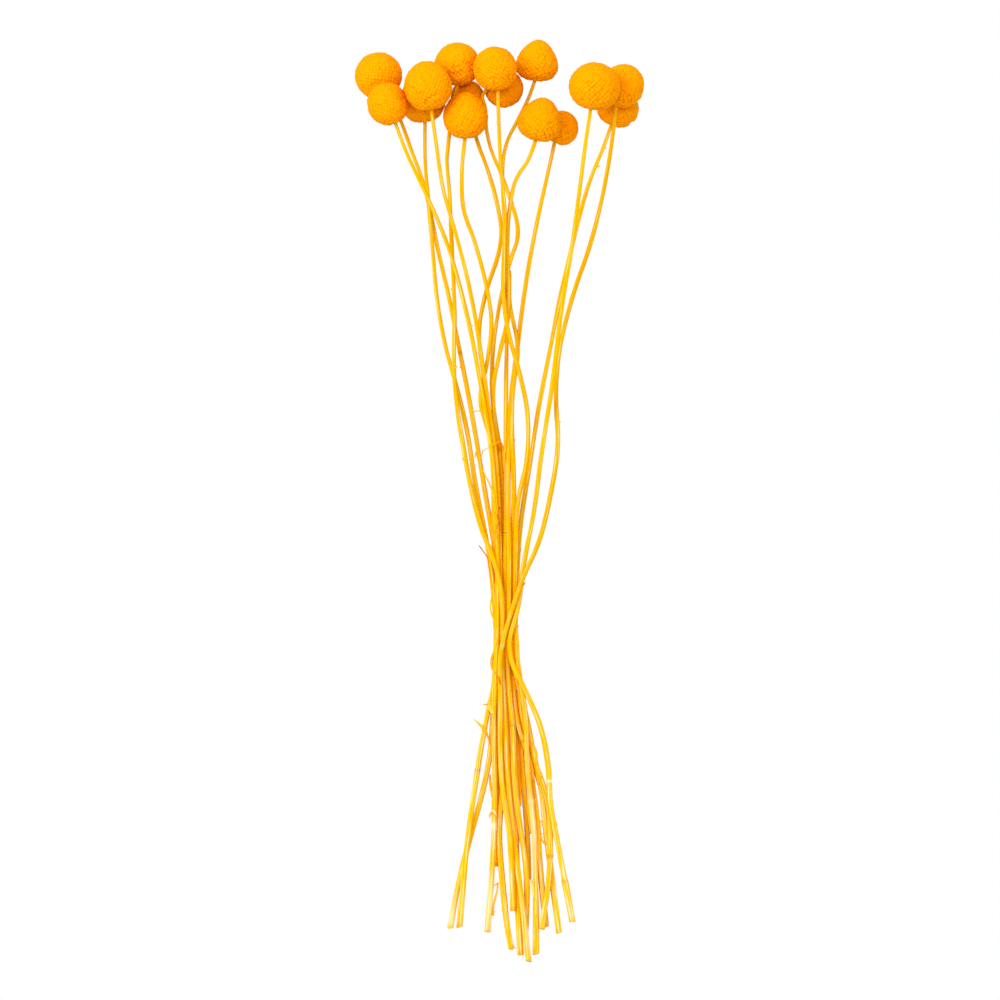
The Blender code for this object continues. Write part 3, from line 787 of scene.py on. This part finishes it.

# %% [markdown]
# ## Shreds and fibres
#
# Strips of skin have peeled off the stems and dried into loops, curls and spikes. Two strips at the
# knot are no skin: a pale one is a painted highlight along the knot band, and a dark one a painted
# shadow under it. Each is a curve through a few places of the photograph that carries a flat
# outline, widest where the strip is, and thin at its tip. A ribbon mesh would need its own twist at
# each point, and a curve does that by itself. An entry of the table gives a strip's widths in
# millimetres at its start, middle and end, its ages at both ends and its places, with a lift in
# millimetres where it stands off the stems. Real fibres are finer than a pixel, so all widths are
# drawn about half as large again.

# %% List the shreds
Strip = namedtuple("Strip", "name widths ages places")
STRIPS = (
    Strip("fibre_bridge", (0.45, 0.45, 0.5), (0.3, 0.35), (
        (471.5, 411.5), (474, 410.9), (476.5, 410.2), (480, 410.6))),
    Strip("curly_filament", (0.3, 0.4, 0.4), (0.45, 0.4), (
        (480.4, 458), (481.6, 453.5), (484, 449.4), (488.4, 447.2), (492, 448))),
    Strip("long_fibre", (0.5, 0.6, 0.5), (0.3, 0.35), (
        (482.6, 470), (484.4, 474.5), (487.3, 480), (490.2, 487), (492.8, 495), (494.5, 501))),
    Strip("upper_spike", (0.12, 0.35, 0.5), (0.95, 0.5), (
        (514.6, 438.2, 0.5), (513.6, 442.5, 0.3), (512.6, 449))),
    Strip("side_flake", (0.5, 0.8, 0.4), (0.35, 0.4), (
        (476.2, 449), (475.2, 453.5, 0.2), (474.4, 457.5, 0.3))),
    Strip("knot_band", (1.2, 1.5, 1.0), (0.35, 0.4), (
        (488.6, 444.4, 0.1), (493, 443.6, 0.5), (497, 442, 0.7), (500.2, 439.4, 0.3))),
    Strip("knot_strip", (0.9, 1.3, 0.5), (0.45, 0.45), (
        (498.4, 440.5, 0.7), (501.6, 445.4, 0.8), (503.2, 452, 0.6), (503.2, 461, 0.3), (502.6, 472))),
    # A pale strip along the top of the knot band: a painted highlight.
    Strip("knot_painted_highlight", (0.3, 0.35, 0.2), (0.15, 0.25), (
        (492.6, 444.8, 1.1), (496, 444.0, 1.2), (500, 442.2, 1.0))),
    # A dark strip under the knot: a painted shadow, not a shred.
    Strip("knot_painted_shadow", (0.3, 0.9, 0.3), (0.95, 0.85), (
        (497.4, 445, 0.6), (498.6, 448.5, 0.5), (498, 453, 0.2))),
    Strip("dark_fleck", (0.3, 0.7, 0.3), (1.0, 0.9), ((498, 472.5, 0.2), (498.8, 475.5, 0.2))),
    Strip("brown_shred", (0.4, 0.5, 0.35), (1.0, 0.65), (
        (478.2, 544.6, 1.5), (481.6, 549.4, 1.2), (487.0, 557.6, 0.4), (488.0, 563), (489.2, 570),
        (490.2, 578), (492.4, 587))),
    Strip("upper_loop", (0.6, 0.6, 0.6), (0.35, 0.4), (
        (494.2, 584), (491.8, 594), (490.0, 604), (490.4, 611), (493.2, 619), (496.2, 627))),
    Strip("lower_loop", (0.9, 1.0, 0.5), (0.3, 0.95), (
        (496, 638), (493.6, 650), (491, 660), (491.6, 667), (495.2, 672), (498.2, 677, 0.2),
        (499.8, 684, 0.1))),
    Strip("right_hook", (0.3, 0.35, 0.2), (0.6, 0.9), (
        (517.8, 550.8), (519.4, 551.4), (520.3, 550), (519.9, 547.6))),
    Strip("leaf_base_spike", (0.3, 0.8, 1.2), (0.95, 0.05), (
        (482.6, 704.4, 0.3), (487, 703.9, 0.3), (491, 703.0, 0.5), (497, 701.8, 0.5))),
    Strip("leaf_base_collar", (1.6, 2.2, 1.4), (0.3, 0.2), (
        (488.6, 700.5, 0.2), (490.4, 706.5, 0.3), (492.4, 713, 0.1))),
    Strip("leaf_base_shred", (0.4, 0.6, 0.4), (0.1, 0.3), (
        (485.4, 706.0, 0.2), (487.4, 708, 0.2), (490.2, 711.4, 0.2))),
    Strip("left_sheath", (0.4, 1.0, 0.5), (1.0, 0.35), (
        (489.6, 774.5, 0.3), (489.6, 782, 0.2), (491.4, 797))),
    Strip("right_sheath", (0.8, 1.8, 0.7), (0.55, 0.4), (
        (532.0, 742, 0.2), (534.8, 752, 0.2), (536.0, 765))),
    Strip("low_wedge", (0.3, 1.3, 0.6), (0.1, 0.25), (
        (529.9, 878, 0.3), (531.6, 884, 0.2), (533.6, 899))),
    Strip("pointed_leaf", (0.3, 1.5, 0.15), (0.3, 0.75), (
        (473, 719, 0.4), (478.5, 723.6, 0.4), (483.5, 728.6, 0.3), (486.8, 735), (489.8, 746))),
    Strip("sheath_sliver", (0.12, 0.6, 0.6), (0.9, 0.6), (
        (533.6, 772.6, 0.3), (533, 780), (533.6, 789), (534.6, 798))),
    Strip("right_spike", (0.12, 0.8, 1.0), (0.45, 0.35), (
        (541.8, 772, 0.6), (540.8, 776.5, 0.3), (539.6, 784))),
    Strip("left_curl", (0.5, 0.8, 0.3), (0.0, 0.3), (
        (490.2, 811.5, 0.6), (492.6, 810.6, 1.2), (495.2, 813.8, 1.4), (496.6, 819, 1.0),
        (495.6, 825.5, 0.4))),
    Strip("left_curl_tip", (0.5, 0.8, 0.4), (0.3, 0.7), (
        (491.4, 812, 0.7), (489.6, 814, 0.5), (489.2, 817.6, 0.2))),
    Strip("right_curl", (0.5, 0.5, 1.0), (0.35, 0.55), (
        (535.4, 800), (537.6, 812), (539.4, 822), (540.2, 833), (541.6, 839.6), (545.4, 844.6))),
    Strip("right_curl_hook", (0.35, 0.45, 0.2), (0.2, 0.3), (
        (538.8, 818.4), (540.6, 821, 0.4), (541.8, 823.6, 0.4), (541, 826.4, 0.2))),
    Strip("right_curl_eye", (0.35, 0.4, 0.3), (0.3, 0.3), (
        (540.3, 834.4), (541.6, 833.6, 0.3), (543.2, 835, 0.4), (542.6, 838))),
    Strip("hanging_shred", (0.7, 0.8, 0.9), (0.4, 0.65), (
        (497, 882.4), (496.8, 890), (494.4, 899), (492.8, 907), (492.4, 915.6, -0.3))),
    Strip("hanging_shred_root", (0.5, 0.6, 0.6), (0.35, 0.4), (
        (493, 886), (494.6, 884.8), (498.4, 882.8))),
    Strip("hanging_shred_knot", (0.5, 0.6, 0.2), (0.4, 0.1), (
        (492.4, 914), (493.6, 911.6, 0.2), (495, 912.2, 0.2))),
    Strip("inner_sheath", (0.5, 1.3, 0.8), (0.4, 0.45), (
        (515.6, 716, -1.5), (516.2, 735, -1.5), (518.4, 756, -1.5), (519.6, 780, -1.5),
        (520.2, 806, -1.5))),
    Strip("inner_leaf", (0.5, 1.5, 0.5), (0.4, 0.45), (
        (527, 794, -1.5), (528.4, 812, -1.5), (530, 834, -1.5))),
    Strip("tangle_left", (0.4, 0.7, 0.3), (0.7, 0.6), (
        (494, 511, 0.3), (496.8, 520, 0.6), (495, 530, 0.5), (497.6, 542, 0.3))),
    Strip("tangle_right", (0.3, 0.6, 0.3), (0.95, 0.7), (
        (499.4, 506, 0.3), (497.6, 516, 0.6), (499.6, 526, 0.5), (497, 537, 0.3))),
    Strip("middle_sheath", (0.3, 0.5, 0.3), (0.4, 0.35), (
        (502, 531.4, 0.2), (507, 530.8, 0.3), (512.4, 530.8, 0.2))),
    Strip("edge_fleck", (0.2, 0.6, 0.2), (1.0, 0.95), (
        (517.4, 845), (518, 851), (517.8, 857))),
    Strip("foot_twig", (0.4, 0.35, 0.15), (0.5, 0.3), ((512, 945), (514.4, 947.6), (516.6, 949))),
)
print(f"{len(STRIPS)} shreds and fibres")

# %% Lay the shreds
STRIP_SIDES = 8
STRIP_FLATNESS = 0.3
STRIP_WIDENING = 1.45
STRIP_TWIST = 0.35
STRIP_STEPS = 6


def make_strip_outline():
    """A flat closed curve, one unit in half its width."""
    bpy.ops.mesh.primitive_circle_add(vertices=STRIP_SIDES, radius=1.0)
    outline = bpy.context.object
    outline.name = "strip_outline"
    for vert in outline.data.vertices:
        vert.co.y *= STRIP_FLATNESS
    bpy.ops.object.convert(target="CURVE")
    return bpy.context.object


def make_strip(strip):
    """A strip of dry skin, or of painted highlight or shadow, that lies on the stems at its places."""
    places = [on_pile(*place) for place in strip.places]
    shares = np.linspace(0.0, 1.0, len(places))
    radii = 0.5 * np.interp(shares, (0.0, 0.5, 1.0), strip.widths) * STRIP_WIDENING * MM
    twists = chance.normal(0.0, STRIP_TWIST, len(places))
    piece = sweep(strip.name, strip_outline, places, radii, twists, STRIP_STEPS, "Z_UP")
    piece.data.materials.append(leaf_material)
    ring_count = len(piece.data.vertices) // STRIP_SIDES - CAP_RINGS
    ages = with_caps(np.linspace(*strip.ages, ring_count))
    store(piece.data, "age", np.repeat(ages, STRIP_SIDES))
    merge_points(piece)
    bpy.ops.object.shade_smooth()
    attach(piece, "root")
    return piece


strip_outline = make_strip_outline()
strips = [make_strip(strip) for strip in STRIPS]
print("shreds:", sum(len(strip.data.polygons) for strip in strips), "faces")

# %% [markdown]
# ## Leaf scars
#
# Where a leaf fell early, a stub of its base stays on the side of the stem. It is hardly longer
# than the stem is thick, so a strip of two places does for it. The table gives its pixel and its
# side, -1 for the left of the stem and 1 for the right.

# %% Add the leaf scars
SCARS = (
    (496.5, 122, -1), (605.2, 147, 1), (598.8, 165, 1), (592.7, 240.5, 1), (507, 145.5, 1),
    (499.7, 178.7, -1), (464, 202, 1), (450.5, 288.5, -1), (456.3, 366, 1), (459.8, 366.5, -1),
    (471.5, 325, 1), (513.5, 411, 1), (559.6, 421.5, 1), (462, 458, -1), (524.5, 582.5, 1),
    (517.6, 626, 1),
)
SCAR_WIDTHS = (0.9, 0.8, 0.45)
SCAR_AGES = (0.3, 0.55)
SCAR_ROOT = (-1.8, 1.8)
SCAR_TIP = (0.5, -0.4)


def make_scar(number, across, down, side):
    """The stub of a fallen leaf, from inside its stem to a tip that stands out a little."""
    ends = [(across + side * out, down + below) for out, below in (SCAR_ROOT, SCAR_TIP)]
    return make_strip(Strip(f"scar_{number:02d}", SCAR_WIDTHS, SCAR_AGES, ends))


scars = [make_scar(number, *scar) for number, scar in enumerate(SCARS, 1)]
print(f"{len(scars)} leaf scars")

# %% [markdown]
# ## One floret
#
# What looks like one knob of the ball is itself a tiny flower cluster: a narrow root, a wider
# five-lobed rim, a rounded top and a small mouth in the middle. It is modelled once, one unit wide
# and one unit high, from a ten-sided disc that is extruded three times. Pulling in every second
# point of the rim makes the lobes. It has few faces, because each head carries several hundred.

# %% Model one floret
FLORET_SIDES = 10
ROOT_WIDTH = 0.9
RIM_HEIGHT = 0.45
SHOULDER_WIDTH = 0.8
SHOULDER_HEIGHT = 0.82
TOP_WIDTH = 0.42
MOUTH_DEPTH = 0.08
LOBE_PULL = 0.88


def select_points(mesh, chosen):
    """Select in edit mode the points that a rule chooses."""
    bpy.ops.object.mode_set(mode="OBJECT")
    for vert in mesh.vertices:
        vert.select = chosen(vert)
    for edge in mesh.edges:
        edge.select = all(mesh.vertices[number].select for number in edge.vertices)
    for face in mesh.polygons:
        face.select = all(mesh.vertices[number].select for number in face.vertices)
    bpy.ops.object.mode_set(mode="EDIT")


def make_floret():
    """A floret with its root at the origin and its mouth one unit up."""
    bpy.ops.mesh.primitive_circle_add(
        vertices=FLORET_SIDES, radius=0.5 * ROOT_WIDTH, fill_type="NGON")
    floret = bpy.context.object
    floret.name = "floret"
    bpy.ops.object.mode_set(mode="EDIT")
    bpy.ops.mesh.select_mode(type="VERT")
    bpy.ops.mesh.select_all(action="SELECT")
    height, width = 0.0, ROOT_WIDTH
    for next_height, next_width in (
            (RIM_HEIGHT, 1.0), (SHOULDER_HEIGHT, SHOULDER_WIDTH), (1.0, TOP_WIDTH)):
        bpy.ops.mesh.extrude_region_move(TRANSFORM_OT_translate={
            "value": (0, 0, next_height - height)})
        bpy.ops.transform.resize(value=(next_width / width, next_width / width, 1))
        height, width = next_height, next_width
    bpy.ops.mesh.poke()
    select_points(floret.data, lambda vert: abs(vert.co.z - RIM_HEIGHT) < 0.01
                  and round(math.atan2(vert.co.y, vert.co.x) * FLORET_SIDES / math.tau) % 2 == 0)
    bpy.ops.transform.resize(value=(LOBE_PULL, LOBE_PULL, 1))
    select_points(floret.data, lambda vert: vert.co.z > 0.9 and vert.co.xy.length < 0.1)
    bpy.ops.transform.translate(value=(0, 0, -MOUTH_DEPTH))
    bpy.ops.mesh.select_all(action="SELECT")
    bpy.ops.mesh.normals_make_consistent(inside=False)
    bpy.ops.object.mode_set(mode="OBJECT")
    return floret


floret = make_floret()
print(f"floret of {len(floret.data.polygons)} faces, {len(floret.data.vertices)} points")

# %% [markdown]
# ## The head's core
#
# Under the florets lies the solid receptacle. A sphere is shrunk onto the form of the head in the
# frame, smoothed, and let in by a little less than the height of a floret. It fills the gaps with
# the darker colour of the roots, which is partly painted shade, and gives every floret a surface
# to grow from.

# %% Shape the cores
FLORET_HEIGHT = 1.2 * MM
CORE_DEPTH = 0.85 * MM
CORE_DETAIL = 4
CORE_SMOOTHING = {"factor": 0.5, "iterations": 4}


def head_form(name):
    """The convex outer form of a head of the frame."""
    form = merged_copy(name)
    bpy.ops.object.mode_set(mode="EDIT")
    bpy.ops.mesh.select_all(action="SELECT")
    bpy.ops.mesh.convex_hull()
    bpy.ops.object.mode_set(mode="OBJECT")
    return form


def make_core(name):
    """A smooth ball of the form of a head, a little smaller all round."""
    form = head_form(name)
    low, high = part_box(name)
    bpy.ops.mesh.primitive_ico_sphere_add(
        subdivisions=CORE_DETAIL, radius=0.5 * max(high - low), location=0.5 * (low + high))
    core = bpy.context.object
    core.name = name + "_core"
    apply_modifier(core, "SHRINKWRAP", target=form, wrap_method="NEAREST_SURFACEPOINT")
    apply_modifier(core, "SMOOTH", **CORE_SMOOTHING)
    apply_modifier(core, "DISPLACE", strength=-CORE_DEPTH, mid_level=0.0)
    bpy.ops.object.transform_apply(location=True, rotation=True, scale=True)
    bpy.ops.object.shade_smooth()
    bpy.data.objects.remove(form)
    return core


cores = {name: make_core(name) for name in HEADS}
print("cores:", sum(len(core.data.polygons) for core in cores.values()), "faces")

# %% [markdown]
# ## Setting the florets
#
# Florets open in turn, each a golden angle further round than the one before, which packs them in
# the crossing spirals that every daisy shows. The youngest, at the crown, are the smallest and
# still pressed together, so the crown feels almost smooth. Towards the stem they widen and part,
# and dark pits open between them. Each copy of the floret stands upright on the core, leans and
# strays a little, and keeps clear of the stem. A slow noise makes whole patches of florets fuller
# or thinner than the next, because a head never dries evenly. Below the crown, one here and there
# stays low and leaves a dark pit. The florets draw their chances from a series of their own, so a
# change to the strips leaves the heads as they are.

# %% Wind the florets round a head
CROWN_PITCH = 1.65 * MM
BASE_PITCH = 2.3 * MM
PACKING = 0.92
SPIRAL_SAMPLES = 400
TYPICAL_AREA = 0.002


def spiral_places(area):
    """Directions over a sphere, and how far each is from the crown to the stem."""
    shares = np.linspace(0.0, 1.0, SPIRAL_SAMPLES)
    pitches = CROWN_PITCH + (BASE_PITCH - CROWN_PITCH) * shares
    sample = area / (SPIRAL_SAMPLES - 1)
    numbers = np.concatenate(([0.0], np.cumsum(sample / (PACKING * pitches[1:] ** 2))))
    share = np.interp(np.arange(int(numbers[-1])) + 0.5, numbers, shares)
    return golden_spiral(1.0 - 2.0 * share), share


print(f"{len(spiral_places(TYPICAL_AREA)[1])} florets on {TYPICAL_AREA / MM ** 2:.0f} mm2")

# %% Place the florets of a head
CROWN_WIDTH = 2.9 * MM
BASE_WIDTH = 3.3 * MM
SUNK = 0.25 * MM
LEAN = 0.06
CROWN_LEAN = 0.1
STRAY = 0.13 * MM
WIDTH_SPREAD = 0.06
HEIGHT_SPREAD = 0.07
PATCH_SIZE = 5.0 * MM
PATCH_STRENGTH = 0.14
PIT_START = 0.35
PIT_CHANCE = 0.08
PIT_CROWDING = 4.0
PIT_HEIGHT = 0.62
PIT_WIDTH = 0.8
NOOK_LIFT = 1.8 * MM
CLEAR_OF_STEM = 0.7 * MM
floret_chance = np.random.default_rng(8)


def place_florets(name, core):
    """The place of each floret of a head, its turn and size in a matrix, and how shut in it is."""
    middles, radii = rings[name.replace("head", "stem")]
    seat = Vector(middles[0])
    low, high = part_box(name)
    heart = 0.5 * (low + high)
    crown = (heart - seat).normalized()
    upright = crown.to_track_quat("Z", "Y").to_matrix()
    mesh = core.data
    surface = surface_of([core])
    area = sum(face.area for face in mesh.polygons) * (1 + FLORET_HEIGHT / (high - low).x) ** 2
    nearest = KDTree(len(mesh.vertices))
    for vert in mesh.vertices:
        nearest.insert(vert.co, vert.index)
    nearest.balance()
    places = []
    for way, share in zip(*spiral_places(area)):
        stray = Vector(floret_chance.normal(0.0, STRAY / (high - low).x * 2, 3))
        spot = surface.ray_cast(heart, (upright @ Vector(way) + stray).normalized())[0]
        out = mesh.vertices[nearest.find(spot)[1]].normal
        aside = (spot - seat) - crown * (spot - seat).dot(crown)
        if aside.length < radii[0] + CLEAR_OF_STEM and (spot - heart).dot(crown) < 0:
            continue
        lean = Vector(floret_chance.normal(0.0, LEAN, 3)) + CROWN_LEAN * crown
        turn = (out + lean).normalized().to_track_quat("Z", "Y")
        spin = Matrix.Rotation(floret_chance.uniform(0.0, math.tau), 3, "Z")
        patch = 1.0 + PATCH_STRENGTH * noise.noise(spot / PATCH_SIZE)
        width = CROWN_WIDTH + (BASE_WIDTH - CROWN_WIDTH) * share
        width *= patch * floret_chance.normal(1.0, WIDTH_SPREAD)
        height = (FLORET_HEIGHT + SUNK) * patch * floret_chance.normal(1.0, HEIGHT_SPREAD)
        crowding = 1.0 + PIT_CROWDING * noise.noise(spot / PATCH_SIZE + heart / MM)
        if share > PIT_START and floret_chance.uniform() < PIT_CHANCE * crowding:
            height *= PIT_HEIGHT
            width *= PIT_WIDTH
        size = Matrix.Diagonal((width, width, height))
        shut = nook(spot + out * NOOK_LIFT, out)
        places.append((spot - out * SUNK, turn.to_matrix() @ spin @ size, shut))
    return places


print(f"florets {CROWN_WIDTH / MM} mm wide at the crown and {BASE_WIDTH / MM} mm at the stem")

# %% Cover the heads with florets
def cover_head(name):
    """One mesh of a core and its florets, with the attributes rise, tone and nook."""
    core = cores[name]
    places = place_florets(name, core)
    shape = points_of(floret.data)
    turns = np.array([turn for _, turn, _ in places])
    spots = np.array([spot for spot, _, _ in places])
    points = np.einsum("nij,vj->nvi", turns, shape) + spots[:, None]
    points[..., 2] = np.maximum(points[..., 2], 0.0)
    faces = [list(face.vertices) for face in floret.data.polygons]
    all_faces = [list(face.vertices) for face in core.data.polygons]
    start = len(core.data.vertices)
    for number in range(len(places)):
        offset = start + number * len(shape)
        all_faces += [[offset + corner for corner in face] for face in faces]
    core_points = points_of(core.data)
    core_points[:, 2] = np.maximum(core_points[:, 2], 0.0)
    mesh = bpy.data.meshes.new(name + "_florets")
    mesh.from_pydata(np.concatenate((core_points, points.reshape(-1, 3))), [], all_faces)
    rise = np.concatenate((np.zeros(start), np.tile(np.clip(shape[:, 2], 0, 1), len(places))))
    tones = np.repeat(floret_chance.uniform(0.0, 1.0, len(places)), len(shape))
    nooks = np.repeat([shut for _, _, shut in places], len(shape))
    store(mesh, "rise", rise)
    store(mesh, "tone", np.concatenate((np.zeros(start), tones)))
    store(mesh, "nook", np.concatenate((np.full(start, nooks.mean()), nooks)))
    mesh.materials.append(floret_material)
    mesh.shade_smooth()
    head = bpy.data.objects.new(name + "_florets", mesh)
    bpy.context.scene.collection.objects.link(head)
    bpy.data.objects.remove(core)
    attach(head, "root")
    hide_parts(name)
    return len(places)


counts = [cover_head(name) for name in HEADS]
print(f"{sum(counts)} florets, {min(counts)} to {max(counts)} a head")

# %% [markdown]
# ## Clearing up
#
# The floret and the outlines were only patterns to copy, so they go.

# %% Remove the patterns and finish
for pattern in (floret, rib_outline, strip_outline):
    bpy.data.objects.remove(pattern)
